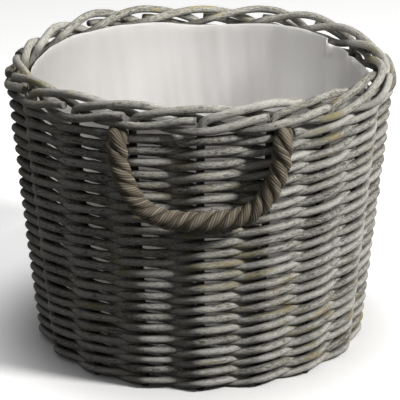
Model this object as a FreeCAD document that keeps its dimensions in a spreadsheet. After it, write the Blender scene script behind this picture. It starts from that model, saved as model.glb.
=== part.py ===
import FreeCAD, Part
import Sketcher
import math
import os

# A round wicker log basket that stands on the cut ends of its stakes, with a fabric liner
# and two rope handles. Millimetres, +Z up, origin on the floor at the basket's axis.
# The front of the basket faces -Y. Azimuths are degrees from the front, turning towards +X.

os.makedirs("parts", exist_ok=True)

Vector = FreeCAD.Vector
UP = Vector(0, 0, 1)
ORIGIN = Vector(0, 0, 0)

SIZES = {
    "overall_height": 376,
    "rim_radius": 250,
    "stake_count": 18,
    "stake_diameter": 9.6,
    "stake_foot_radius": 202.5,
    "stroke_intervals": 3.88,
    "rod_diameter": 6.8,
    "rod_clearance": 0.5,
    "row_count": 23,
    "first_row_height": 8,
    "base_row": 4,
    "spoke_diameter": 5,
    "spoke_inner_radius": 20,
    "base_rod_diameter": 9,
    "base_round_count": 6,
    "first_round_radius": 84,
    "liner_thickness": 1.2,
    "liner_floor_height": 69,
    "liner_floor_radius": 195.5,
    "liner_top_height": 357,
    "liner_top_radius": 219.4,
    "liner_corner_radius": 14,
    "rope_diameter": 22,
    "rope_height": 333.5,
    "rope_half_spread": 96.5,
    "rope_pivot_reach": 237,
    "rope_inner_reach": 203.5,
    "rope_joint_gap": 0.6,
}

# A border stroke's axis at each quarter interval after its stake: how far it is inside the
# outermost strand, and how far below the topmost. It comes up between the strands, goes over
# the border, down inside it, out under it behind the next strand, and up to its cut end.
STROKE_STEP = 0.25
STROKE_PLACES = [
    (9.7, 13.2),
    (6.7, 8.7),
    (5.7, 4.9),
    (7.2, 1.6),
    (10.2, 0.0),
    (14.4, 1.6),
    (17.0, 5.6),
    (19.4, 9.6),
    (20.0, 14.2),
    (16.6, 18.6),
    (9.7, 20.9),
    (3.0, 21.2),
    (0.0, 21.2),
    (0.0, 19.2),
    (0.0, 15.4),
    (0.2, 11.2),
    (0.8, 9.7),
]
# A rod's place at shares of a stake interval: how far it is from the row's middle, as shares
# of the way out beside a stake and of the way up, for the rod that is outside at the stake.
# The other rod is at the opposite place, so the two twine once in two intervals.
TWINE_PLACES = [(0.0, 1.0, 1.0), (0.5, 0.23, 1.0), (0.7, -0.23, 1.0)]
BEND_REACH = 10.0  # longest stretch of a rod that one rounded corner may use on each side
RUN_SHARE = 0.45  # most of a straight run that the corner at one of its ends may use
CORNER_PASSES = 6  # rounds of moving a route's corners until its arcs pass the given points
CUT_PAST_STAKE = 0.5  # how far the top row's rods run past the last stake beside a rope end
# The left half of a hanging rope's route, below its top: how far each corner is from the
# rope's middle, further out than its tops, and below them.
ROPE_PLACES = [(95.5, 1, 33.5), (76, 4, 76.5), (48, 8, 94), (0, 12, 98)]
END_GAP = 1.0  # space between the two cut ends of a rod that goes once round
TUBE_TOLERANCE = 0.02  # how far a tube's volume may be from its section times its length

doc = FreeCAD.newDocument("log_basket")
sheet = doc.addObject("Spreadsheet::Sheet", "sizes")
for line, (alias, value) in enumerate(SIZES.items(), 1):
    sheet.set(f"A{line}", alias)
    sheet.set(f"B{line}", str(value))
    sheet.setAlias(f"B{line}", alias)
doc.recompute()


def size(alias):
    return float(sheet.get(alias))


stake_count = int(size("stake_count"))
interval = 360.0 / stake_count
stake_radius = size("stake_diameter") / 2
rod_radius = size("rod_diameter") / 2
clearance = size("rod_clearance")
row_pitch = 2 * (size("rod_diameter") + clearance)

# The axes of the border's outermost and topmost strands.
outermost = size("rim_radius") - stake_radius
topmost = size("overall_height") - stake_radius
stake_top_radius = outermost - STROKE_PLACES[0][0]
stake_top_height = topmost - STROKE_PLACES[0][1]

subparts = []


def polar(radius, azimuth, height):
    """The point at a radius, an azimuth in degrees from the front, and a height."""
    angle = math.radians(azimuth)
    return Vector(radius * math.sin(angle), -radius * math.cos(angle), height)


def stake_line(height):
    """The radius of a leaning stake's axis at a height."""
    lean = (stake_top_radius - size("stake_foot_radius")) / stake_top_height
    return size("stake_foot_radius") + lean * height


# Routes: straight runs joined by tangent arcs.


def corner_arc(before, here, after, longest_reach):
    """Start, middle and end of the tangent arc that rounds the corner at here."""
    arrive = (here - before).normalize()
    leave = (after - here).normalize()
    shorter_run = min((here - before).Length, (after - here).Length)
    reach = min(longest_reach, RUN_SHARE * shorter_run)
    half_turn = arrive.getAngle(leave) / 2
    inward = (leave - arrive).normalize()
    sagitta = reach / math.tan(half_turn) * (1 / math.cos(half_turn) - 1)
    return here - arrive * reach, here + inward * sagitta, here + leave * reach


def arc_radius(arc):
    return Part.Arc(*arc).toShape().Curve.Radius


def loop_arcs(corners, longest_reach):
    neighbours = zip(corners[-1:] + corners[:-1], corners, corners[1:] + corners[:1])
    return [corner_arc(*three, longest_reach) for three in neighbours]


def loop_through(passed, longest_reach):
    """Corners of a closed route whose rounded corners pass through the given points."""
    corners = list(passed)
    for _ in range(CORNER_PASSES):
        arcs = loop_arcs(corners, longest_reach)
        corners = [c + p - arc[1] for c, p, arc in zip(corners, passed, arcs)]
    return corners


def wire_through(start, arcs, end):
    """A wire of the given tangent arcs and the straight runs before, between and after them."""
    edges = []
    at = start
    for arc in arcs:
        edges.append(Part.LineSegment(at, arc[0]).toShape())
        edges.append(Part.Arc(*arc).toShape())
        at = arc[2]
    edges.append(Part.LineSegment(at, end).toShape())
    return Part.Wire(edges)


def route_wire(corners, longest_reach):
    """A wire along an open route, with a tangent arc at each inner corner."""
    inner = zip(corners, corners[1:], corners[2:])
    arcs = [corner_arc(*three, longest_reach) for three in inner]
    return wire_through(corners[0], arcs, corners[-1])


def tube(wire, radius):
    """A round solid along a wire, with flat cut ends."""
    first = wire.Edges[0]
    start = first.valueAt(first.FirstParameter)
    along = first.tangentAt(first.FirstParameter)
    section = Part.Wire(Part.Circle(start, along, radius).toShape())
    solid = wire.makePipe(Part.Face(section))
    expected = math.pi * radius**2 * wire.Length
    if abs(solid.Volume - expected) > TUBE_TOLERANCE * expected:
        raise ValueError(f"a tube holds {solid.Volume:.0f} mm3 and not {expected:.0f}")
    return solid


def rod_once_round(corners, opening, radius):
    """A rod along a closed route, with its two cut ends on the run before corner opening."""
    arcs = loop_arcs(corners, BEND_REACH)
    arcs = arcs[opening:] + arcs[:opening]
    middle = (arcs[-1][2] + arcs[0][0]) / 2
    half_gap = (arcs[0][0] - arcs[-1][2]).normalize() * END_GAP / 2
    return tube(wire_through(middle + half_gap, arcs, middle - half_gap), radius)


def add_feature(label, shape, placement=None):
    """A sub-part whose shape is worked out from the sheet."""
    feature = doc.addObject("Part::Feature", label)
    feature.Label = label
    feature.Shape = shape
    if placement is not None:
        feature.Placement = placement
    subparts.append(feature)
    return feature


def turned_about_axis(azimuth):
    return FreeCAD.Placement(ORIGIN, FreeCAD.Rotation(UP, azimuth))


# Stakes: each stands on its cut foot, leans out with the wall, and its top is turned down
# to the right and wound with its neighbours' tops into the rope-like border.


def stroke_points():
    points = []
    for step, (inside, lower) in enumerate(STROKE_PLACES):
        after = min(step * STROKE_STEP, size("stroke_intervals"))
        points.append(polar(outermost - inside, after * interval, topmost - lower))
    return points


def stake_shape():
    below = -size("stake_diameter")
    wire = route_wire([polar(stake_line(below), 0, below)] + stroke_points(), BEND_REACH)
    whole = tube(wire, stake_radius)
    reach = size("rim_radius")
    under_floor = Part.makeBox(2 * reach, 2 * reach, reach, Vector(-reach, -reach, -reach))
    return whole.cut(under_floor).Solids[0]


def add_stakes():
    shape = stake_shape()
    for number in range(stake_count):
        add_feature(f"stake_{number + 1:02d}", shape, turned_about_axis(number * interval))


# Weave: each row is a pair of rods twined round the stakes. At every stake one rod is
# outside and the other inside, and past halfway the rod going in crosses over the other.

beside_stake = stake_radius + rod_radius + clearance
cross_rise = rod_radius + clearance / 2


def row_points(height, strand):
    """Points that one rod of a row passes."""
    half = math.radians(interval / 2)
    points = []
    for stake in range(stake_count):
        sign = 1 if (stake + strand) % 2 == 0 else -1
        for share, out, up in TWINE_PLACES:
            level = height + sign * up * cross_rise
            from_middle = math.radians(interval) * (share - 0.5)
            chord = stake_line(level) * math.cos(half) / math.cos(from_middle)
            radius = chord + sign * out * beside_stake
            points.append(polar(radius, (stake + share) * interval, level))
    return points


def row_corners(height, strand):
    """Corners of one rod of a row, none of them above or below the row."""
    low, high = height - cross_rise, height + cross_rise
    corners = loop_through(row_points(height, strand), BEND_REACH)
    return [Vector(corner.x, corner.y, min(max(corner.z, low), high)) for corner in corners]


def full_row(height, opening):
    """The two rods of a row that goes all the way round."""
    rods = []
    for strand in range(2):
        rods.append(rod_once_round(row_corners(height, strand), opening, rod_radius))
    return rods


def hole_azimuth(side):
    """The azimuth, at the stakes' radius, of one side of the hole that a rope end needs."""
    half_hole = size("rope_diameter") / 2 + rod_radius
    across = size("rope_half_spread") + side * half_hole
    return math.degrees(math.asin(across / stake_line(size("rope_height"))))


def top_row(height):
    """The top row, whose rods stop on both sides of each rope end."""
    places = len(TWINE_PLACES)
    near = int(hole_azimuth(-1) // interval) * places
    far = near + 1
    half_turn = places * stake_count // 2
    last_of_side = half_turn - near - places + 1
    front_and_side = [(-near, near, CUT_PAST_STAKE), (far, last_of_side, -BEND_REACH)]
    rods = []
    for strand in range(2):
        corners = row_corners(height, strand)
        for turn in (0, half_turn):
            for first, last, extra in front_and_side:
                route = [corners[(at + turn) % len(corners)] for at in range(first, last + 1)]
                before = (route[0] - route[1]).normalize() * extra
                after = (route[-1] - route[-2]).normalize() * extra
                route = [route[0] + before] + route[1:-1] + [route[-1] + after]
                rods.append(tube(route_wire(route, BEND_REACH), rod_radius))
    return rods


def add_rows():
    last = int(size("row_count"))
    for number in range(1, last + 1):
        height = size("first_row_height") + (number - 1) * row_pitch
        if number == last:
            rods = top_row(height)
        else:
            opening = (stake_count // 2 + number % 5 - 2) * len(TWINE_PLACES)
            rods = full_row(height, opening)
        add_feature(f"weave_row_{number:02d}", Part.makeCompound(rods))


# Base: spokes whose outer ends lie between the fourth and fifth rows' inner rods, held
# together by pairs of rods twined above and below them. The rows beneath are the foot.

lowest_inner_rod = size("first_row_height") - cross_rise + clearance
base_height = lowest_inner_rod + (size("base_row") - 0.5) * row_pitch


def add_spokes():
    outer = stake_line(base_height) - stake_radius - 2 * clearance
    spokes = []
    for number in range(stake_count):
        spoke = doc.addObject("Part::Cylinder", f"spoke_{number + 1:02d}")
        spoke.setExpression("Radius", "sizes.spoke_diameter / 2")
        spoke.Height = outer - size("spoke_inner_radius")
        azimuth = number * interval
        outward = FreeCAD.Rotation(UP, polar(1, azimuth, 0))
        spoke.Placement = FreeCAD.Placement(
            polar(size("spoke_inner_radius"), azimuth, base_height), outward
        )
        spokes.append(spoke)
    group = doc.addObject("Part::Compound", "base_spokes")
    group.Label = "base_spokes"
    group.Links = spokes
    subparts.append(group)


def round_points(radius, strand):
    """Points that one rod of a base round passes."""
    base_rod_radius = size("base_rod_diameter") / 2
    above = size("spoke_diameter") / 2 + base_rod_radius + clearance
    beside = base_rod_radius + clearance / 2
    points = []
    for half in range(2 * stake_count):
        spoke, at_gap = divmod(half, 2)
        sign = 1 if (spoke + strand) % 2 == 0 else -1
        azimuth = half * interval / 2
        if at_gap:
            points.append(polar(radius + sign * beside, azimuth, base_height))
        else:
            points.append(polar(radius, azimuth, base_height + sign * above))
    return points


def add_base_rounds():
    spacing = 2 * (size("base_rod_diameter") + clearance)
    for number in range(int(size("base_round_count"))):
        radius = size("first_round_radius") + number * spacing
        rods = []
        for strand in range(2):
            corners = loop_through(round_points(radius, strand), BEND_REACH)
            rods.append(rod_once_round(corners, 2 * number, size("base_rod_diameter") / 2))
        add_feature(f"base_round_{number + 1}", Part.makeCompound(rods))


# Liner: a fabric bag that stands on the base and ends inside the border.


def origin_plane(body, role):
    return next(item for item in body.Origin.OriginFeatures if item.Role == role)


def add_liner():
    body = doc.addObject("PartDesign::Body", "liner")
    body.Label = "liner"
    sketch = body.newObject("Sketcher::SketchObject", "liner_profile")
    sketch.AttachmentSupport = (origin_plane(body, "XZ_Plane"), "")
    sketch.MapMode = "FlatFace"
    outer_floor = Vector(size("liner_floor_radius"), size("liner_floor_height"), 0)
    outer_top = Vector(size("liner_top_radius"), size("liner_top_height"), 0)
    thickness = size("liner_thickness")
    outline = [
        Vector(0, outer_floor.y, 0),
        outer_floor,
        outer_top,
        outer_top - Vector(thickness, 0, 0),
        outer_floor + Vector(-thickness, thickness, 0),
        Vector(0, outer_floor.y + thickness, 0),
    ]
    for start, end in zip(outline, outline[1:] + outline[:1]):
        sketch.addGeometry(Part.LineSegment(start, end))
    bind_profile(sketch, len(outline))
    turned = body.newObject("PartDesign::Revolution", "liner_turned")
    turned.Profile = sketch
    turned.ReferenceAxis = (sketch, ["V_Axis"])
    turned.Angle = 360
    doc.recompute()
    corners = [
        f"Edge{number}"
        for number, edge in enumerate(turned.Shape.Edges, 1)
        if is_floor_corner(edge)
    ]
    rounded = body.newObject("PartDesign::Fillet", "liner_corner")
    rounded.Base = (turned, corners)
    rounded.setExpression("Radius", "sizes.liner_corner_radius")
    body.Tip = rounded
    subparts.append(body)


def bind_profile(sketch, count):
    """Joins the outline's lines and ties its corners to the sheet."""
    for line in range(count):
        following = (line + 1) % count
        sketch.addConstraint(Sketcher.Constraint("Coincident", line, 2, following, 1))
    heights = {0: "floor", 1: "floor", 2: "top", 3: "top"}
    for line, level in heights.items():
        index = sketch.addConstraint(
            Sketcher.Constraint("DistanceY", -1, 1, line, 1, size(f"liner_{level}_height"))
        )
        sketch.setExpression(f"Constraints[{index}]", f"sizes.liner_{level}_height")
    radii = {1: "floor", 2: "top"}
    for line, level in radii.items():
        index = sketch.addConstraint(
            Sketcher.Constraint("DistanceX", -1, 1, line, 1, size(f"liner_{level}_radius"))
        )
        sketch.setExpression(f"Constraints[{index}]", f"sizes.liner_{level}_radius")


def is_floor_corner(edge):
    """Is this edge one of the two circles where the liner's floor meets its wall?"""
    box = edge.BoundBox
    low = box.ZMax < size("liner_floor_height") + 2 * size("liner_thickness")
    return low and box.ZLength < size("liner_thickness") / 2 and box.XLength > size("rim_radius")


# Rope handles: each hangs in a U from two rope ends that pass through the wall under the
# border. The hanging rope swings about the line through its two round tops.


def rope_route():
    """The hanging rope's points from its left top to its right top, at the front."""
    spread = size("rope_half_spread")
    reach = size("rope_pivot_reach")
    height = size("rope_height")
    left = [Vector(-spread, -reach, height)]
    for aside, out, down in ROPE_PLACES:
        left.append(Vector(-aside, -reach - out, height - down))
    right = [Vector(-corner.x, corner.y, corner.z) for corner in reversed(left[:-1])]
    return left + right


def rope_shape():
    route = rope_route()
    radius = size("rope_diameter") / 2
    arcs = [
        corner_arc(before, here, after, size("rope_half_spread"))
        for before, here, after in zip(route, route[1:], route[2:])
    ]
    print("rope bend radii", [round(arc_radius(arc)) for arc in arcs])
    wire = route_wire(route, size("rope_half_spread"))
    print(f"rope from top to top {wire.Length:.0f} mm")
    rope = tube(wire, radius)
    tops = [Part.makeSphere(radius, top) for top in (route[0], route[-1])]
    return rope.fuse(tops).removeSplitter().Solids[0]


def add_rope_handles():
    shape = rope_shape()
    for name, azimuth in (("front", 0), ("back", 180)):
        add_feature(f"rope_handle_{name}", shape, turned_about_axis(azimuth))


def add_rope_ends():
    length = (
        size("rope_pivot_reach")
        - size("rope_diameter") / 2
        - size("rope_joint_gap")
        - size("rope_inner_reach")
    )
    for side, azimuth in (("front", 0), ("back", 180)):
        for hand, sign in (("left", -1), ("right", 1)):
            label = f"rope_end_{side}_{hand}"
            end = doc.addObject("Part::Cylinder", label)
            end.Label = label
            end.setExpression("Radius", "sizes.rope_diameter / 2")
            end.Height = length
            inner = Vector(
                sign * size("rope_half_spread"), -size("rope_inner_reach"), size("rope_height")
            )
            outward = FreeCAD.Placement(inner, FreeCAD.Rotation(UP, Vector(0, -1, 0)))
            end.Placement = turned_about_axis(azimuth).multiply(outward)
            subparts.append(end)


add_stakes()
add_rows()
add_spokes()
add_base_rounds()
add_liner()
add_rope_handles()
add_rope_ends()
doc.recompute()

for thing in doc.Objects:
    if "Invalid" in thing.State or "Error" in thing.State:
        raise RuntimeError(f"{thing.Label} failed: {thing.State}")
for part in subparts:
    if part.Shape.isNull() or not part.Shape.isValid():
        raise RuntimeError(f"{part.Label} has no valid shape")
for part in subparts:
    part.Shape.exportStep(f"parts/{part.Label}.step")
print(f"{len(subparts)} sub-parts written")
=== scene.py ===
import math

import bpy
import numpy as np
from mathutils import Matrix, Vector


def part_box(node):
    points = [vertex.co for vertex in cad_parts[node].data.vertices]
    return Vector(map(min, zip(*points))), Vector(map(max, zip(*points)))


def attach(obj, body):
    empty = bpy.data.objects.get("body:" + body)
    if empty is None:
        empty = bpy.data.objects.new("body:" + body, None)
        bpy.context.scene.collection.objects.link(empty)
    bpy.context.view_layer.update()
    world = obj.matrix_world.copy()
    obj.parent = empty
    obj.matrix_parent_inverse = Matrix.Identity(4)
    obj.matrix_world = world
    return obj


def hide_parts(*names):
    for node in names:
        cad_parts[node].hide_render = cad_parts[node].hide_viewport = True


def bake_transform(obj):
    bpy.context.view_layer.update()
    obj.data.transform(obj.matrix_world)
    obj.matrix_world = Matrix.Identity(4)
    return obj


# A round wicker log basket: twined rods round leaning stakes, a border wound from the
# stakes' turned-down tops, a fabric liner and two rope handles. Metres, +Z up, front at -Y.
# Azimuths are degrees from the front, turning towards +X.

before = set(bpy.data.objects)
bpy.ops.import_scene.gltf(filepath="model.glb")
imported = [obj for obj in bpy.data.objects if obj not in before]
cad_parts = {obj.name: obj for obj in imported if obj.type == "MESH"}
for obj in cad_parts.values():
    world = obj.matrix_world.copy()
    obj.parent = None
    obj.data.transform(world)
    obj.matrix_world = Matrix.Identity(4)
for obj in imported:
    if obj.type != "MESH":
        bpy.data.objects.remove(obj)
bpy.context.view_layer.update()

STAKES = sorted(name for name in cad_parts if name.startswith("stake_"))
ROWS = sorted(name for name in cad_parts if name.startswith("weave_row_"))
ROUNDS = sorted(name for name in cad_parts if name.startswith("base_round_"))
INTERVAL = 360 / len(STAKES)
HALVES = 2 * len(STAKES)

RIM_RADIUS = 0.250
RIM_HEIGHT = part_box(STAKES[0])[1].z
STAKE_RADIUS = 0.0048
STRAND_RADIUS = 0.0052
STAKE_FOOT_RADIUS = 0.2025
ROD_RADIUS = 0.0051
SPOKE_RADIUS = 0.0025
BASE_ROD_RADIUS = 0.0045

# A border stroke's axis at each quarter interval after its stake, in millimetres: how far it
# is inside the outermost strand, and how far below the topmost.
STROKE_PLACES = [
    (9.7, 13.2),
    (6.7, 8.7),
    (5.7, 4.9),
    (7.2, 1.6),
    (10.2, 0.0),
    (14.4, 1.6),
    (17.0, 5.6),
    (19.4, 9.6),
    (20.0, 14.2),
    (16.6, 18.6),
    (9.7, 20.9),
    (3.0, 21.2),
    (0.0, 21.2),
    (0.0, 19.2),
    (0.0, 15.4),
    (0.2, 11.6),
    (0.8, 11.2),
]
STROKE_INTERVALS = 3.95
# Where a rope's end passes through the wall, and the stretch that row 23 leaves open for it.
ROPE_AZIMUTH = 23.6
ROPE_GAP = (20.6, 27.4)
STAKE_TOP_RADIUS = RIM_RADIUS - STAKE_RADIUS - STROKE_PLACES[0][0] / 1000
STAKE_TOP = RIM_HEIGHT - STAKE_RADIUS - STROKE_PLACES[0][1] / 1000

# A wall rod's place at shares of a stake interval, for the rod that is outside at the stake:
# how far out it is, as a share of its place beside a stake, and how far up in its row.
TWINE_PLACES = [(0.0, 1.0, 1.0), (0.28, 0.80, 0.95), (0.5, 0.25, 0.95), (0.72, -0.35, 0.7)]
TWINE_RISE = 0.00365

rng = np.random.default_rng(7)


# Shared shapes


def polar(radius, azimuth, height):
    """Points at radii, azimuths in degrees from the front, and heights."""
    angle = np.radians(azimuth)
    radius, angle, height = np.broadcast_arrays(radius, angle, height)
    return np.stack([radius * np.sin(angle), -radius * np.cos(angle), height], axis=-1)


def stake_line(height):
    """The radius of a leaning stake's axis at a height."""
    return STAKE_FOOT_RADIUS + (STAKE_TOP_RADIUS - STAKE_FOOT_RADIUS) * height / STAKE_TOP


def wander(x, seed):
    """Smooth random values from -1 to 1 that change over about one unit of x."""
    values = np.random.default_rng(seed).uniform(-1, 1, 512)
    cell = np.floor(x).astype(int)
    part = x - cell
    part = part * part * (3 - 2 * part)
    return values[cell % 512] * (1 - part) + values[(cell + 1) % 512] * part


def spaced(points, step):
    """Points at even steps along a line of points."""
    lengths = np.linalg.norm(np.diff(points, axis=0), axis=1)
    along = np.concatenate([[0], np.cumsum(lengths)])
    count = max(2, round(along[-1] / step) + 1)
    at = np.linspace(0, along[-1], count)
    return np.stack([np.interp(at, along, points[:, i]) for i in range(3)], axis=1)


def softened(points, steps, closed):
    """A line of even steps with its corners softened over a few steps."""
    reach = math.ceil(3 * steps)
    kernel = np.exp(-0.5 * (np.arange(-reach, reach + 1) / steps) ** 2)
    kernel /= kernel.sum()
    if closed:
        padded = np.concatenate([points[-reach:], points, points[:reach]])
    else:
        before = 2 * points[0] - points[reach:0:-1]
        after = 2 * points[-1] - points[-2 : -reach - 2 : -1]
        padded = np.concatenate([before, points, after])
    return np.stack([np.convolve(padded[:, i], kernel, "valid") for i in range(3)], axis=1)


def frames_along(points):
    """Two directions across a line at each point, which turn as little as possible along it."""
    tangents = np.gradient(points, axis=0)
    tangents /= np.linalg.norm(tangents, axis=1)[:, None]
    helper = np.array([0, 0, 1.0]) if abs(tangents[0][2]) < 0.9 else np.array([1.0, 0, 0])
    side = np.cross(tangents[0], helper)
    sides = []
    for tangent in tangents:
        side = side - tangent * (side @ tangent)
        side /= np.linalg.norm(side)
        sides.append(side)
    sides = np.array(sides)
    return sides, np.cross(tangents, sides)


def along_line(points):
    """The length along a line of points, at each point."""
    return np.concatenate([[0], np.cumsum(np.linalg.norm(np.diff(points, axis=0), axis=1))])


def painted_crevice_shade(line, radii):
    """Painted shade: 1 on the sides of a rod that face the rods above and below or the inside, 0
    outside.
    """
    across, over = frames_along(line)
    around = np.linspace(0, 2 * math.pi, radii.shape[1], endpoint=False)[None, :, None]
    facing = np.cos(around) * across[:, None] + np.sin(around) * over[:, None]
    outward = line * (1, 1, 0) / np.linalg.norm(line[:, :2], axis=1)[:, None]
    out = np.sum(facing * outward[:, None], axis=2)
    edge = np.clip((np.abs(facing[:, :, 2]) - 0.60) / 0.36, 0, 1)
    return np.maximum(0.72 * edge**1.4, 0.6 * (out < -0.2))


class Skin:
    """Tubes gathered into one mesh, with the values that its material reads."""

    def __init__(self):
        self.points, self.faces, self.grain, self.count = [], [], [], 0
        self.facts = {"tone": [], "shade": []}

    def tube(self, line, radii, tone, offset=0.0, shade=0.0, twist=0.0):
        """Adds a tube. radii has a row for each point of the line and a column for each side."""
        rings, sides = radii.shape
        twist = np.broadcast_to(twist, rings)
        across, over = frames_along(line)
        around = np.linspace(0, 2 * math.pi, sides, endpoint=False)
        cos, sin = np.cos(around), np.sin(around)
        reach = radii[:, :, None] * (
            cos[None, :, None] * across[:, None] + sin[None, :, None] * over[:, None]
        )
        points = line[:, None] + reach
        along = np.broadcast_to(along_line(line)[:, None] + offset, radii.shape)
        laid = around[None] + twist[:, None]
        grain = np.stack([along, radii * np.cos(laid), radii * np.sin(laid)], axis=-1)
        ring = np.arange(rings - 1)[:, None] * sides + self.count
        here = np.arange(sides)[None]
        there = (here + 1) % sides
        quads = np.stack([ring + here, ring + there, ring + there + sides, ring + here + sides], -1)
        self.points.append(points.reshape(-1, 3))
        self.grain.append(grain.reshape(-1, 3))
        for fact, value in (("tone", tone), ("shade", shade)):
            value = np.asarray(value, float)
            value = value[:, None] if value.ndim == 1 else value
            self.facts[fact].append(np.broadcast_to(value, radii.shape).reshape(-1))
        self.faces += quads.reshape(-1, 4).tolist()
        last = self.count + (rings - 1) * sides
        self.faces.append([self.count + side for side in reversed(range(sides))])
        self.faces.append([last + side for side in range(sides)])
        self.count += rings * sides

    def piece(self, name):
        """A Blender object of the gathered tubes."""
        mesh = bpy.data.meshes.new(name)
        mesh.from_pydata(np.concatenate(self.points).tolist(), [], self.faces)
        grain = mesh.attributes.new("grain", "FLOAT_VECTOR", "POINT")
        grain.data.foreach_set("vector", np.concatenate(self.grain).astype(np.float32).ravel())
        for fact, values in self.facts.items():
            layer = mesh.attributes.new(fact, "FLOAT", "POINT")
            layer.data.foreach_set("value", np.concatenate(values).astype(np.float32))
        sides = np.array([len(face) for face in self.faces])
        mesh.polygons.foreach_set("use_smooth", sides == 4)
        mesh.update()
        made = bpy.data.objects.new(name, mesh)
        bpy.context.scene.collection.objects.link(made)
        return made


def rod_radii(line, radius, seed, sides=12):
    """The radii of a natural rod: tapered, swelling a little, ridged along, with small knots."""
    local = np.random.default_rng(seed)
    along = along_line(line)
    around = np.linspace(0, 2 * math.pi, sides, endpoint=False)
    taper = np.linspace(1.06, 0.94, len(line))
    if local.random() < 0.5:
        taper = taper[::-1]
    swell = 1 + 0.035 * wander(along / 0.06, seed) + 0.02 * wander(along / 0.014, seed + 1)
    radii = radius * (taper * swell)[:, None] * np.ones(sides)
    for ripple in range(2, 6):
        lean = local.uniform(0, 2 * math.pi) + 2 * wander(along / 0.05, seed + ripple)
        depth = 0.018 * wander(along / 0.02, seed + 10 + ripple) / math.sqrt(ripple)
        radii *= 1 + depth[:, None] * np.cos(ripple * around[None] + lean[:, None])
    for _ in range(local.poisson(along[-1] * 3)):
        at, facing = local.uniform(0, along[-1]), local.uniform(0, 2 * math.pi)
        near = np.exp(-(((along - at) / 0.0035) ** 2))[:, None]
        radii *= 1 + 0.16 * near * np.exp(2 * (np.cos(around[None] - facing) - 1))
    return radii


def rounded_ends(radii):
    """Breaks the edges of a tube's two cut ends."""
    radii = radii.copy()
    radii[[0, -1]] *= 0.86
    return radii


def dress(piece, material, node):
    """Gives a piece its material, and puts it on the basket in place of a node."""
    piece.data.materials.append(material)
    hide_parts(node)
    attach(piece, "basket")


# Materials


class Nodes:
    """A material's nodes, made and linked in short calls."""

    def __init__(self, name):
        self.material = bpy.data.materials.new(name)
        self.material.use_nodes = True
        self.tree = self.material.node_tree
        self.shader = self.tree.nodes["Principled BSDF"]

    def link(self, source, target):
        self.tree.links.new(source, target)

    def add(self, kind, **settings):
        node = self.tree.nodes.new(kind)
        for key, value in settings.items():
            setattr(node, key, value)
        return node

    def attribute(self, name, output):
        return self.add("ShaderNodeAttribute", attribute_name=name).outputs[output]

    def stretched(self, vector, scale):
        node = self.add("ShaderNodeVectorMath", operation="MULTIPLY")
        self.link(vector, node.inputs[0])
        node.inputs[1].default_value = scale
        return node.outputs[0]

    def noise(self, vector, scale, detail=4.0, roughness=0.55):
        node = self.add("ShaderNodeTexNoise")
        self.link(vector, node.inputs["Vector"])
        node.inputs["Scale"].default_value = scale
        node.inputs["Detail"].default_value = detail
        node.inputs["Roughness"].default_value = roughness
        return node.outputs["Fac"]

    def math(self, operation, a, b):
        node = self.add("ShaderNodeMath", operation=operation)
        for socket, value in zip(node.inputs, (a, b)):
            if isinstance(value, (int, float)):
                socket.default_value = value
            else:
                self.link(value, socket)
        return node.outputs[0]

    def between(self, value, low, high):
        """0 below low, 1 above high, and smooth between."""
        node = self.add("ShaderNodeMapRange", interpolation_type="SMOOTHSTEP")
        self.link(value, node.inputs["Value"])
        node.inputs["From Min"].default_value = low
        node.inputs["From Max"].default_value = high
        return node.outputs["Result"]

    def ramp(self, value, stops):
        node = self.add("ShaderNodeValToRGB")
        elements = node.color_ramp.elements
        while len(elements) < len(stops):
            elements.new(0.5)
        for element, (place, colour) in zip(elements, stops):
            element.position = place
            element.color = (*colour, 1)
        self.link(value, node.inputs["Fac"])
        return node.outputs["Color"]

    def mix(self, share, a, b):
        node = self.add("ShaderNodeMix", data_type="RGBA")
        for socket, value in zip((node.inputs[0], node.inputs[6], node.inputs[7]), (share, a, b)):
            if isinstance(value, (int, float)):
                socket.default_value = value
            elif isinstance(value, tuple):
                socket.default_value = (*value, 1)
            else:
                self.link(value, socket)
        return node.outputs[2]

    def bump(self, height, strength, distance, normal=None):
        node = self.add("ShaderNodeBump")
        node.inputs["Strength"].default_value = strength
        node.inputs["Distance"].default_value = distance
        self.link(height, node.inputs["Height"])
        if normal is not None:
            self.link(normal, node.inputs["Normal"])
        return node.outputs["Normal"]

    def position(self):
        return self.add("ShaderNodeNewGeometry").outputs["Position"]


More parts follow.
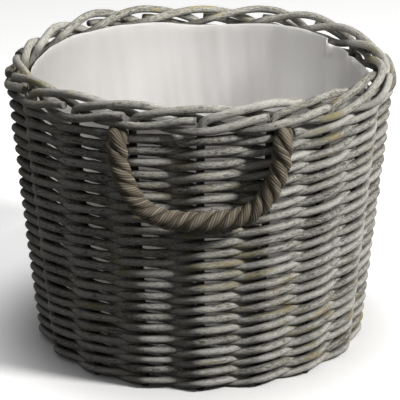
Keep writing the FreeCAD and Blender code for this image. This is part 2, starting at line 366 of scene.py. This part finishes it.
def willow(name, dark, middle, light, patina):
    """Weathered rod: mottled along the rod, darkened by painted shade from its shade value, with
    bloom and a dry skin.
    """
    made = Nodes(name)
    grain = made.attribute("grain", "Vector")
    tone = made.attribute("tone", "Fac")
    shade = made.attribute("shade", "Fac")
    place = made.add("ShaderNodeTexCoord").outputs["Object"]
    streaks = made.noise(made.stretched(grain, (40, 900, 900)), 1.0, 5)
    fine = made.noise(made.stretched(grain, (360, 900, 900)), 1.0, 4, 0.65)
    mottles = made.noise(made.stretched(grain, (170, 430, 430)), 1.0, 4, 0.62)
    blotches = made.noise(made.stretched(grain, (38, 150, 150)), 1.0, 3, 0.6)
    regions = made.noise(place, 7.0, 3, 0.6)
    level = made.math("MULTIPLY", streaks, 0.14)
    level = made.math("ADD", level, made.math("MULTIPLY", fine, 0.34))
    level = made.math("ADD", level, made.math("MULTIPLY", mottles, 0.28))
    level = made.math("ADD", level, made.math("MULTIPLY", blotches, 0.14))
    level = made.math("ADD", level, made.math("MULTIPLY", tone, 0.09))
    colour = made.ramp(level, [(0.395, dark), (0.455, middle), (0.56, light)])
    bloom = made.between(made.noise(made.stretched(grain, (26, 120, 120)), 1.0, 3), 0.52, 0.62)
    bloom = made.math("MULTIPLY", bloom, made.between(regions, 0.46, 0.60))
    colour = made.mix(made.math("MULTIPLY", bloom, 0.7), colour, patina)
    soot = made.between(made.noise(made.stretched(grain, (90, 300, 300)), 1.0, 5), 0.54, 0.68)
    soot = made.math("MULTIPLY", soot, made.between(made.noise(place, 11.0, 2), 0.40, 0.58))
    colour = made.mix(made.math("MULTIPLY", soot, 0.65), colour, tuple(c * 0.5 for c in dark))
    # painted shade: the shade value darkens the rod towards a deep brown-black
    painted_shade = made.math("MULTIPLY", shade, 0.93)
    colour = made.mix(painted_shade, colour, tuple(c * 0.30 for c in dark))
    made.link(colour, made.shader.inputs["Base Color"])
    rough = made.add("ShaderNodeMapRange")
    made.link(mottles, rough.inputs["Value"])
    rough.inputs["To Min"].default_value = 0.66
    rough.inputs["To Max"].default_value = 0.95
    made.link(rough.outputs["Result"], made.shader.inputs["Roughness"])
    made.shader.inputs["Specular IOR Level"].default_value = 0.22
    normal = made.bump(blotches, 0.35, 0.0015)
    normal = made.bump(mottles, 0.6, 0.0009, normal)
    normal = made.bump(fine, 0.6, 0.0006, normal)
    made.link(normal, made.shader.inputs["Normal"])
    return made.material


def rope_fibre():
    """Natural fibre rope: thin yarns that follow each strand, with light and dark hairs."""
    made = Nodes("rope_fibre")
    grain = made.attribute("grain", "Vector")
    tone = made.attribute("tone", "Fac")
    yarns = made.noise(made.stretched(grain, (55, 1500, 1500)), 1.0, 5, 0.65)
    fibres = made.noise(made.stretched(grain, (160, 4200, 4200)), 1.0, 3, 0.6)
    stains = made.noise(made.stretched(grain, (30, 120, 120)), 1.0, 3)
    level = made.math("MULTIPLY", yarns, 0.24)
    level = made.math("ADD", level, made.math("MULTIPLY", fibres, 0.16))
    level = made.math("ADD", level, made.math("MULTIPLY", stains, 0.12))
    # tone brings the painted shade of the rope's grooves as well as each yarn's own tone
    level = made.math("ADD", level, made.math("MULTIPLY", tone, 0.48))
    colour = made.ramp(
        level,
        [
            (0.33, (0.034, 0.028, 0.020)),
            (0.53, (0.160, 0.136, 0.100)),
            (0.70, (0.37, 0.325, 0.255)),
        ],
    )
    made.link(colour, made.shader.inputs["Base Color"])
    made.shader.inputs["Roughness"].default_value = 0.88
    made.shader.inputs["Specular IOR Level"].default_value = 0.2
    normal = made.bump(yarns, 0.8, 0.0012)
    normal = made.bump(fibres, 0.6, 0.0004, normal)
    made.link(normal, made.shader.inputs["Normal"])
    return made.material


def liner_cotton():
    """Plain woven cotton: a fine cross weave, slubs and faint creases."""
    made = Nodes("liner_cotton")
    glow = made.add("ShaderNodeBsdfTranslucent")
    blend = made.add("ShaderNodeMixShader")
    blend.inputs["Fac"].default_value = 0.62
    grain = made.attribute("grain", "Vector")
    weft = made.noise(made.stretched(grain, (260, 2600, 0)), 1.0, 2)
    warp = made.noise(made.stretched(grain, (2600, 260, 0)), 1.0, 2)
    creases = made.noise(made.stretched(grain, (16, 7, 0)), 1.0, 5, 0.5)
    threads = made.math("MULTIPLY", made.math("ADD", weft, warp), 0.5)
    level = made.math("MULTIPLY", threads, 0.5)
    level = made.math("ADD", level, made.math("MULTIPLY", creases, 0.5))
    colour = made.ramp(level, [(0.36, (0.78, 0.765, 0.752)), (0.64, (0.85, 0.84, 0.83))])
    made.link(colour, made.shader.inputs["Base Color"])
    made.link(colour, glow.inputs["Color"])
    made.shader.inputs["Roughness"].default_value = 0.93
    made.shader.inputs["Specular IOR Level"].default_value = 0.15
    normal = made.bump(creases, 0.2, 0.004)
    normal = made.bump(threads, 0.35, 0.0003, normal)
    made.link(normal, made.shader.inputs["Normal"])
    made.link(made.shader.outputs["BSDF"], blend.inputs[1])
    made.link(glow.outputs["BSDF"], blend.inputs[2])
    output = made.tree.nodes["Material Output"]
    made.link(blend.outputs["Shader"], output.inputs["Surface"])
    return made.material


wall_willow = willow(
    "wall_willow",
    dark=(0.070, 0.066, 0.052),
    middle=(0.270, 0.261, 0.234),
    light=(0.48, 0.468, 0.435),
    patina=(0.25, 0.205, 0.085),
)
stake_willow = willow(
    "stake_willow",
    dark=(0.075, 0.070, 0.055),
    middle=(0.265, 0.256, 0.225),
    light=(0.46, 0.448, 0.41),
    patina=(0.30, 0.255, 0.10),
)
base_willow = willow(
    "base_willow",
    dark=(0.050, 0.044, 0.034),
    middle=(0.20, 0.185, 0.155),
    light=(0.36, 0.34, 0.30),
    patina=(0.20, 0.17, 0.08),
)


# Stakes and border

stake_shift = rng.uniform(-0.7, 0.7, len(STAKES))


def stake_azimuth(number):
    """A stake's azimuth, which is a little off even spacing."""
    return number * INTERVAL + stake_shift[int(number) % len(STAKES)]


def away_from_ropes(azimuth):
    """0 where a rope's end passes through the wall, 1 a little further round and beyond."""
    from_handle = np.abs((azimuth + 90) % 180 - 90)
    return 1 - np.exp(-(((from_handle - ROPE_AZIMUTH) / 6.0) ** 2))


def backward(azimuth):
    """0 at the front, 1 round the back half."""
    from_front = np.abs((azimuth + 180) % 360 - 180)
    return np.clip((from_front - 60) / 40, 0, 1)


def rim_lift(azimuth):
    """The rim is not quite level: it is higher at the two back corners and lower at the sides."""
    from_front = np.abs((azimuth + 180) % 360 - 180)
    corners = 0.0076 * np.exp(-(((from_front - 141) / 25) ** 2))
    return 0.0015 + corners - 0.0025 * np.exp(-(((from_front - 85) / 20) ** 2))


def rim_lean(azimuth):
    """The border leans in over the liner, most at the sides and behind them."""
    from_front = np.abs((azimuth + 180) % 360 - 180)
    return 0.0096 * np.exp(-(((from_front - 107) / 33) ** 2))


def stroke_places(after, number, seed):
    """Radii and heights of a border stroke at intervals after its stake."""
    steps = np.minimum(np.arange(len(STROKE_PLACES)) * 0.25, STROKE_INTERVALS)
    inside, lower = np.array(STROKE_PLACES).T / 1000
    radius = RIM_RADIUS - STAKE_RADIUS - np.interp(after, steps, inside)
    height = RIM_HEIGHT - STAKE_RADIUS - np.interp(after, steps, lower)
    freed = np.clip(after / 0.5, 0, 1)
    radius = radius + 0.0011 * freed * wander(after / 0.8, seed)
    height = height + 0.0015 * freed * wander(after / 1.1, seed + 1)
    azimuth = (number + after) * INTERVAL
    low = np.interp(after, steps, lower) / lower.max()
    sag = (0.0042 + 0.0014 * backward(azimuth)) * away_from_ropes(azimuth)
    height = height - sag * low**2
    radius = radius - rim_lean(azimuth) * freed * (1 - low)
    return radius, height + rim_lift(azimuth) * freed * (1 - 0.4 * low)


def stake_route(number):
    """Up from the foot, then turned down to the right and wound into the border."""
    seed = 100 + 10 * number
    heights = np.linspace(0, STAKE_TOP - 0.006, 60)
    sway = stake_azimuth(number) + 0.12 * wander(heights / 0.09, seed)
    upright = polar(stake_line(heights), sway, heights)
    after = np.linspace(0, STROKE_INTERVALS, 90)
    radius, height = stroke_places(after, number, seed + 3)
    eased = np.clip(after / 0.6, 0, 1)
    azimuth = number * INTERVAL + after * INTERVAL + (1 - eased) * stake_shift[number]
    line = spaced(np.concatenate([upright, polar(radius, azimuth, height)]), 0.0025)
    return softened(line, 3, closed=False)


def add_stakes():
    """The stakes. The part below the border, the cut end and the buried part of a stroke are
    darkened with painted shade.
    """
    for number, node in enumerate(STAKES):
        line = stake_route(number)
        line[0, 2] = 0.0
        in_border = np.clip((line[:, 2] - STAKE_TOP + 0.018) / 0.010, 0, 1)
        radius = STAKE_RADIUS + (STRAND_RADIUS * rng.uniform(0.95, 1.05) - STAKE_RADIUS) * in_border
        radii = rod_radii(line, 1.0, 300 + number) * radius[:, None]
        cut = np.zeros(len(line))
        cut[-2:] = 0.55
        inside = RIM_RADIUS - np.hypot(line[:, 0], line[:, 1])
        below = RIM_HEIGHT - line[:, 2]
        buried = np.clip((inside - 0.014) / 0.008, 0, 1) * np.clip((below - 0.010) / 0.006, 0, 1)
        # painted shade: darker below the border, on the cut end and where the stroke runs inside
        # and below the border top
        shade = np.maximum(np.maximum(1 - in_border, cut), 0.8 * buried)
        skin = Skin()
        skin.tube(line, rounded_ends(radii), rng.uniform(0, 1), number * 3.1, shade)
        dress(skin.piece(f"willow_{node}"), stake_willow, node)


# Woven wall


def row_route(row, strand, height):
    """The line of one rod of a row, round the whole basket."""
    seed = 1000 + 10 * row + strand
    shares, out, up = (np.tile(column, len(STAKES)) for column in np.array(TWINE_PLACES).T)
    stake = np.repeat(np.arange(len(STAKES)), len(TWINE_PLACES))
    sign = np.where((stake + strand) % 2 == 0, 1.0, -1.0)
    shift = stake_shift[stake] * (1 - shares) + np.roll(stake_shift, -1)[stake] * shares
    crossing = np.where(shares > 0.4, rng.uniform(-0.05, 0.05, len(STAKES))[stake], 0)
    azimuth = (stake + shares + crossing) * INTERVAL + shift
    rise = TWINE_RISE * sign * up
    level = 0.0010 * wander(azimuth / 23.0, 40 + row) + 0.0004 * wander(azimuth / 9.0, seed)
    half = math.radians(INTERVAL / 2)
    chord = stake_line(height + rise) * math.cos(half) / np.cos(2 * half * (shares - 0.5))
    beside = STAKE_RADIUS + ROD_RADIUS - 0.0008
    slack = np.where(shares == 0, rng.uniform(0.96, 1.08, len(shares)), 1)
    rows_below_border = len(ROWS) - 1 - row
    if rows_below_border < 3:
        raised = (0.0016, 0.0009, 0.0004)[rows_below_border]
        level = level + raised * (1 + 2.2 * backward(azimuth)) * away_from_ropes(azimuth)
    passed = polar(chord + sign * out * beside * slack, azimuth, height + rise + level)
    line = spaced(np.concatenate([passed, passed[:1]]), 0.0025)[:-1]
    return softened(line, 2.6, closed=True)


def azimuths(line):
    """The azimuth of each point of a line."""
    return np.degrees(np.arctan2(line[:, 0], -line[:, 1])) % 360


def parted(line, keep):
    """The stretches of a closed line whose points are kept, each in order."""
    if keep.all():
        return [line]
    first = int(np.argmax(~keep))
    line, keep = np.roll(line, -first, axis=0), np.roll(keep, -first)
    edges = np.flatnonzero(np.diff(keep.astype(int)))
    if len(edges) % 2:
        edges = np.append(edges, len(line) - 1)
    return [line[a + 1 : b + 1] for a, b in zip(edges[::2], edges[1::2])]


def add_rows():
    for row, node in enumerate(ROWS):
        low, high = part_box(node)
        height = (low.z + high.z) / 2
        skin = Skin()
        for strand in range(2):
            line = row_route(row, strand, height)
            turned = azimuths(line)
            if node == ROWS[-1]:
                from_handle = np.abs((turned + 90) % 180 - 90)
                keep = (from_handle < ROPE_GAP[0]) | (from_handle > ROPE_GAP[1])
            else:
                opening = (8 + 2 * (row % 2) + (row + strand) % 2) * INTERVAL
                keep = np.arange(len(line)) != np.argmin(np.abs(turned - opening))
            size = ROD_RADIUS * rng.uniform(0.94, 1.06)
            for part, stretch in enumerate(parted(line, keep)):
                seed = 2000 + 100 * row + 10 * strand + part
                radii = rounded_ends(rod_radii(stretch, size, seed, sides=16))
                tone, offset = rng.uniform(0.05, 1.0), rng.uniform(0, 50)
                # painted shade between the rows and on the rods' inner sides, carried as the shade
                # value
                skin.tube(stretch, radii, tone, offset, painted_crevice_shade(stretch, radii))
        dress(skin.piece(f"willow_{node}"), wall_willow, node)


# Base


def round_route(radius, strand, height):
    """The line of one rod of a base round, over one spoke and under the next."""
    half = np.arange(HALVES)
    goes_up = np.where((half // 2 + strand) % 2 == 0, 1.0, -1.0)
    at_spoke = half % 2 == 0
    above = (SPOKE_RADIUS + BASE_ROD_RADIUS) * goes_up
    beside = BASE_ROD_RADIUS * goes_up
    passed = polar(
        np.where(at_spoke, radius, radius + beside),
        half * INTERVAL / 2,
        height + np.where(at_spoke, above, 0),
    )
    line = spaced(np.concatenate([passed, passed[:1]]), 0.003)[:-1]
    return softened(line, 2, closed=True)


def add_base():
    low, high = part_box("base_spokes")
    height = (low.z + high.z) / 2
    outer = (high.x - low.x) / 2
    for number, node in enumerate(ROUNDS):
        box_low, box_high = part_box(node)
        radius = (box_high.x - box_low.x) / 2 - 2 * BASE_ROD_RADIUS
        skin = Skin()
        for strand in range(2):
            line = round_route(radius, strand, height)
            line = np.roll(line, 17 * number, axis=0)[1:]
            radii = rounded_ends(rod_radii(line, BASE_ROD_RADIUS, 5000 + 10 * number + strand))
            skin.tube(line, radii, rng.uniform(0.1, 0.9), offset=rng.uniform(0, 50))
        dress(skin.piece(f"willow_{node}"), base_willow, node)
    skin = Skin()
    for number in range(len(STAKES)):
        ends = polar(np.array([0.020, outer]), number * INTERVAL, height)
        line = spaced(ends, 0.004)
        radii = rounded_ends(rod_radii(line, SPOKE_RADIUS, 5200 + number, sides=10))
        skin.tube(line, radii, rng.uniform(0.1, 0.9), offset=rng.uniform(0, 50))
    dress(skin.piece("willow_base_spokes"), base_willow, "base_spokes")


# Liner


PLEAT_AZIMUTH = 124.0
LINER_FLOOR_RADIUS = 0.1955
LINER_TURN = 1.35
LINER_DROP = 0.28
LINER_REACH = 0.19


def fold_depth(azimuth, down):
    """How far the cloth stands in from the wall. down is 0 at its top edge, 1 at its floor."""
    depth = 0.0022 + 0.0016 * wander(azimuth / 24 + 0.8 * down, 61)
    pleats = np.random.default_rng(62)
    for place in np.arange(0, 360, 17.0):
        centre = place + pleats.uniform(-7, 7) + pleats.uniform(-5, 5) * down
        width = pleats.uniform(1.8, 4.5) * (1 + 0.5 * down)
        height = pleats.uniform(0.0012, 0.0042) * (0.35 + pleats.uniform(0.2, 1.0) * down)
        away = (azimuth - centre + 180) % 360 - 180
        depth = depth + height * np.exp(-((away / width) ** 2))
    for centre, stands_in, width in ((PLEAT_AZIMUTH + 2 * down, 0.0080, 1.6), (111, 0.0045, 1.2)):
        pleat = np.exp(-(((azimuth - centre) / (width + 5 * down)) ** 2))
        depth = depth + stands_in * pleat * (1 - down) ** 2
    depth = depth + 0.0007 * wander(azimuth / 3.1 + 3 * down, 63) * (0.4 + down)
    return depth


def slipped(azimuth):
    """How far the cloth's edge has slipped down, on one stretch beside a pleat."""
    start = np.clip((azimuth - 84) / 12, 0, 1)
    end = np.clip((PLEAT_AZIMUTH + 0.5 - azimuth) / 1.5, 0, 1)
    return 0.0075 * start * start * (3 - 2 * start) * end


def cloth_place(azimuth, down):
    """Metres round and down the cloth, for its threads and creases."""
    return np.stack([azimuth / 360 * LINER_TURN, np.full(len(azimuth), down), azimuth * 0], 1)


def add_liner():
    low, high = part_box("liner")
    around, up = 720, 90
    azimuth = np.linspace(0, 360, around, endpoint=False)
    top_radius, floor_radius = high.x, LINER_FLOOR_RADIUS
    rows = []
    facts = []
    for step in range(up + 1):
        down = step / up
        height = high.z + (low.z + 0.012 - high.z) * down
        radius = top_radius + (floor_radius - top_radius) * down
        edge = (1 - down) ** 8
        lift = -edge * (0.0025 + 0.0022 * wander(azimuth / 13, 71))
        depth = fold_depth(azimuth, down)
        tucked = 0.0014 * np.clip(1 - down / 0.03, 0, 1) ** 1.5 - 0.5 * rim_lean(azimuth) * edge
        lift = lift + (rim_lift(azimuth) - slipped(azimuth)) * (1 - down) ** 6
        rows.append(polar(radius - depth + tucked, azimuth, height + lift))
        facts.append(cloth_place(azimuth, LINER_DROP * down))
    floor_rings = 40
    for step in range(1, floor_rings + 1):
        share = 1 - step / (floor_rings + 0.35)
        corner = np.clip(1 - step / 4, 0, 1)
        radius = floor_radius * share - fold_depth(azimuth, 1.0) * share
        height = low.z + 0.0012 + 0.008 * corner**2
        ripple = 0.0009 * (1 + wander(azimuth / 21 + share * 3, 77)) * np.sin(math.pi * share)
        rows.append(polar(radius, azimuth, height + ripple))
        facts.append(cloth_place(azimuth, LINER_DROP + LINER_REACH * (1 - share)))
    points = np.concatenate(rows)
    here = np.arange(around)
    there = (here + 1) % around
    faces = []
    for ring in range(len(rows) - 1):
        a, b = ring * around, (ring + 1) * around
        faces += np.stack([a + here, a + there, b + there, b + here], 1).tolist()
    faces.append(((len(rows) - 1) * around + here).tolist())
    mesh = bpy.data.meshes.new("cotton_liner")
    mesh.from_pydata(points.tolist(), [], faces)
    grain = mesh.attributes.new("grain", "FLOAT_VECTOR", "POINT")
    grain.data.foreach_set("vector", np.concatenate(facts).astype(np.float32).ravel())
    mesh.polygons.foreach_set("use_smooth", [True] * len(mesh.polygons))
    piece = bpy.data.objects.new("cotton_liner", mesh)
    bpy.context.scene.collection.objects.link(piece)
    thick = piece.modifiers.new("cloth_thickness", "SOLIDIFY")
    thick.thickness = 0.0010
    thick.offset = 1.0
    dress(piece, liner_cotton(), "liner")


# Rope handles

ROPE_ROUTE = [
    (-0.0965, -0.2035, 0.3335),
    (-0.0965, -0.2200, 0.3345),
    (-0.0965, -0.2370, 0.3365),
    (-0.0955, -0.2380, 0.3000),
    (-0.0760, -0.2410, 0.2570),
    (-0.0480, -0.2450, 0.2395),
    (0.0000, -0.2490, 0.2355),
    (0.0480, -0.2450, 0.2395),
    (0.0760, -0.2410, 0.2570),
    (0.0955, -0.2380, 0.3000),
    (0.0965, -0.2370, 0.3365),
    (0.0965, -0.2200, 0.3345),
    (0.0965, -0.2035, 0.3335),
]
STRANDS = 3
LAY_LENGTH = 0.057
STRAND_OFFSET = 0.0054
ROPE_STRAND_RADIUS = 0.0071
YARNS = 11
ROPE_STEP = 0.0007
YARN_LAY_LENGTH = 0.036


def spline_points(route):
    """The points of the smooth spline that has the route as its control points."""
    curve = bpy.data.curves.new("route", "CURVE")
    curve.dimensions = "3D"
    curve.resolution_u = 24
    spline = curve.splines.new("NURBS")
    spline.points.add(len(route) - 1)
    for point, place in zip(spline.points, route):
        point.co = (*place, 1)
    spline.order_u = 3
    spline.use_endpoint_u = True
    holder = bpy.data.objects.new("route", curve)
    mesh = bpy.data.meshes.new_from_object(holder)
    points = np.array([vertex.co for vertex in mesh.vertices], float)
    bpy.data.objects.remove(holder)
    bpy.data.curves.remove(curve)
    bpy.data.meshes.remove(mesh)
    return points


def add_rope(side, turn):
    """One rope handle of three strands. turn is 1 at the front and -1 at the back."""
    route = [(x * turn, y * turn, z) for x, y, z in ROPE_ROUTE]
    middle = spaced(spline_points(route), ROPE_STEP)
    across, over = frames_along(middle)
    along = along_line(middle)
    skin = Skin()
    for strand in range(STRANDS):
        angle = 2 * math.pi * (strand / STRANDS - along / LAY_LENGTH)
        offset = STRAND_OFFSET * (1 + 0.05 * wander(along / 0.03, 90 + strand))
        line = middle + offset[:, None] * (
            np.cos(angle)[:, None] * across + np.sin(angle)[:, None] * over
        )
        around = np.linspace(0, 2 * math.pi, 84, endpoint=False)
        lay = 2 * math.pi * along / YARN_LAY_LENGTH + 0.3 * wander(along / 0.02, 97 + strand)
        ridges = np.abs(np.cos(YARNS / 2 * (around[None] + lay[:, None])))
        radii = ROPE_STRAND_RADIUS * (0.85 + 0.15 * ridges**0.8)
        radii = radii * (1 + 0.025 * wander(along / 0.012, 95 + strand))[:, None]
        turned, raised = frames_along(line)
        outward = (line - middle) / offset[:, None]
        facing = np.cos(around) * np.sum(turned * outward, axis=1)[:, None]
        facing = facing + np.sin(around) * np.sum(raised * outward, axis=1)[:, None]
        yarn_tone = np.random.default_rng(120 + strand).uniform(0.6, 1.1, YARNS)
        yarn = np.floor((around[None] + lay[:, None]) / (2 * math.pi) * YARNS + 0.5).astype(int)
        # painted shade: darker where a strand faces into the rope and in the grooves between yarns,
        # times each yarn's own tone
        tone = np.clip(0.45 + 0.45 * facing, 0, 1) * (0.4 + 0.6 * ridges)
        tone = tone * yarn_tone[yarn % YARNS]
        skin.tube(line, radii, tone, offset=strand * 2.0, twist=lay)
    piece = skin.piece(f"rope_{side}")
    hairs = add_hairs(side, middle, across, over)
    ends = [f"rope_end_{side}_left", f"rope_end_{side}_right"]
    for made in (piece, hairs):
        made.data.materials.append(rope_material)
        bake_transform(made)
    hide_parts(f"rope_handle_{side}", *ends)


def add_hairs(side, middle, across, over):
    """Loose fibres that stand off the rope."""
    local = np.random.default_rng(17 if side == "front" else 18)
    skin = Skin()
    for _ in range(900):
        at = local.integers(34, len(middle) - 68)
        angle = local.uniform(0, 2 * math.pi)
        out = math.cos(angle) * across[at] + math.sin(angle) * over[at]
        forward = (middle[at + 1] - middle[at]) / ROPE_STEP
        sweep = local.normal(0, 1, 3) * 0.35 + forward * local.uniform(-1, 1)
        length = local.uniform(0.003, 0.009)
        parts = np.linspace(0, 1, 5)[:, None]
        root = middle[at] + out * 0.0092
        line = root + (out * parts * 0.45 + sweep * parts**1.4 * 0.8) * length
        radii = np.linspace(0.00013, 0.00004, 5)[:, None] * np.ones(3)
        skin.tube(line, radii, local.uniform(0.3, 1.3), offset=local.uniform(0, 9))
    return skin.piece(f"rope_fibres_{side}")


# Scene


def look_at(thing, target):
    """Turns a light to face a target."""
    direction = Vector(target) - thing.location
    thing.rotation_euler = direction.to_track_quat("-Z", "Y").to_euler()


def area_light(name, place, target, size, power, colour):
    light = bpy.data.lights.new(name, "AREA")
    light.shape = "DISK"
    light.size = size
    light.energy = power
    light.color = colour
    made = bpy.data.objects.new(name, light)
    made.location = place
    made.visible_camera = False
    bpy.context.scene.collection.objects.link(made)
    look_at(made, target)


def spot_light(name, place, target, angle, power):
    light = bpy.data.lights.new(name, "SPOT")
    light.energy = power
    light.spot_size = math.radians(angle)
    light.spot_blend = 0.3
    light.shadow_soft_size = 0.06
    made = bpy.data.objects.new(name, light)
    made.location = place
    bpy.context.scene.collection.objects.link(made)
    look_at(made, target)


def add_floor():
    """A pale floor with painted light: it glows away from the basket and not beside it."""
    mesh = bpy.data.meshes.new("floor")
    reach = 12.0
    corners = [(-reach, -reach, 0), (reach, -reach, 0), (reach, reach, 0), (-reach, reach, 0)]
    mesh.from_pydata(corners, [], [(0, 1, 2, 3)])
    made = Nodes("floor_paint")
    made.shader.inputs["Base Color"].default_value = (0.93, 0.93, 0.93, 1)
    made.shader.inputs["Roughness"].default_value = 0.9
    made.shader.inputs["Emission Color"].default_value = (1, 1, 1, 1)
    away = made.add("ShaderNodeVectorMath", operation="LENGTH")
    made.link(made.position(), away.inputs[0])
    # painted light: the glow rises from nothing at 0.2 m from the centre to full at 0.36 m
    glow = made.between(away.outputs["Value"], 0.20, 0.36)
    made.link(made.math("MULTIPLY", glow, 0.45), made.shader.inputs["Emission Strength"])
    mesh.materials.append(made.material)
    floor = bpy.data.objects.new("floor", mesh)
    floor.visible_diffuse = False
    bpy.context.scene.collection.objects.link(floor)


def add_world():
    """White to the camera, and a weaker light to everything else, which comes from above and fades
    out at the horizon.
    """
    world = bpy.data.worlds.new("studio")
    bpy.context.scene.world = world
    world.use_nodes = True
    tree = world.node_tree
    background = tree.nodes["Background"]
    background.inputs["Color"].default_value = (1, 1, 1, 1)
    around = tree.nodes.new("ShaderNodeTexCoord")
    parts = tree.nodes.new("ShaderNodeSeparateXYZ")
    above = tree.nodes.new("ShaderNodeMapRange")
    above.inputs["From Min"].default_value = -0.05
    above.inputs["From Max"].default_value = 0.45
    above.inputs["To Max"].default_value = 0.22
    path = tree.nodes.new("ShaderNodeLightPath")
    strength = tree.nodes.new("ShaderNodeMapRange")
    strength.inputs["To Max"].default_value = 1.0
    tree.links.new(around.outputs["Generated"], parts.inputs["Vector"])
    tree.links.new(parts.outputs["Z"], above.inputs["Value"])
    tree.links.new(above.outputs["Result"], strength.inputs["To Min"])
    tree.links.new(path.outputs["Is Camera Ray"], strength.inputs["Value"])
    tree.links.new(strength.outputs["Result"], background.inputs["Strength"])


def add_camera():
    camera = bpy.data.cameras.new("camera")
    camera.lens = 168.2
    camera.sensor_width = 36
    made = bpy.data.objects.new("camera", camera)
    made.location = (0, -2.3, 0.999)
    made.rotation_euler = (math.radians(90 - 19.7), 0, 0)
    bpy.context.scene.collection.objects.link(made)
    bpy.context.scene.camera = made


rope_material = rope_fibre()
add_camera()
add_rope("front", 1)
add_rope("back", -1)
add_stakes()
add_rows()
add_base()
add_liner()
add_floor()
add_world()
area_light("key", (2.25, -1.15, 2.05), (0, 0, 0.15), 0.6, 112, (1.0, 0.99, 0.97))
area_light("top", (-0.1, 0.1, 1.6), (0, 0, 0.2), 0.8, 6, (1.0, 0.995, 0.99))
spot_light("inside", (0, -0.55, 1.30), (0, 0.14, 0.13), 21, 71)
bpy.context.scene.view_settings.view_transform = "Standard"
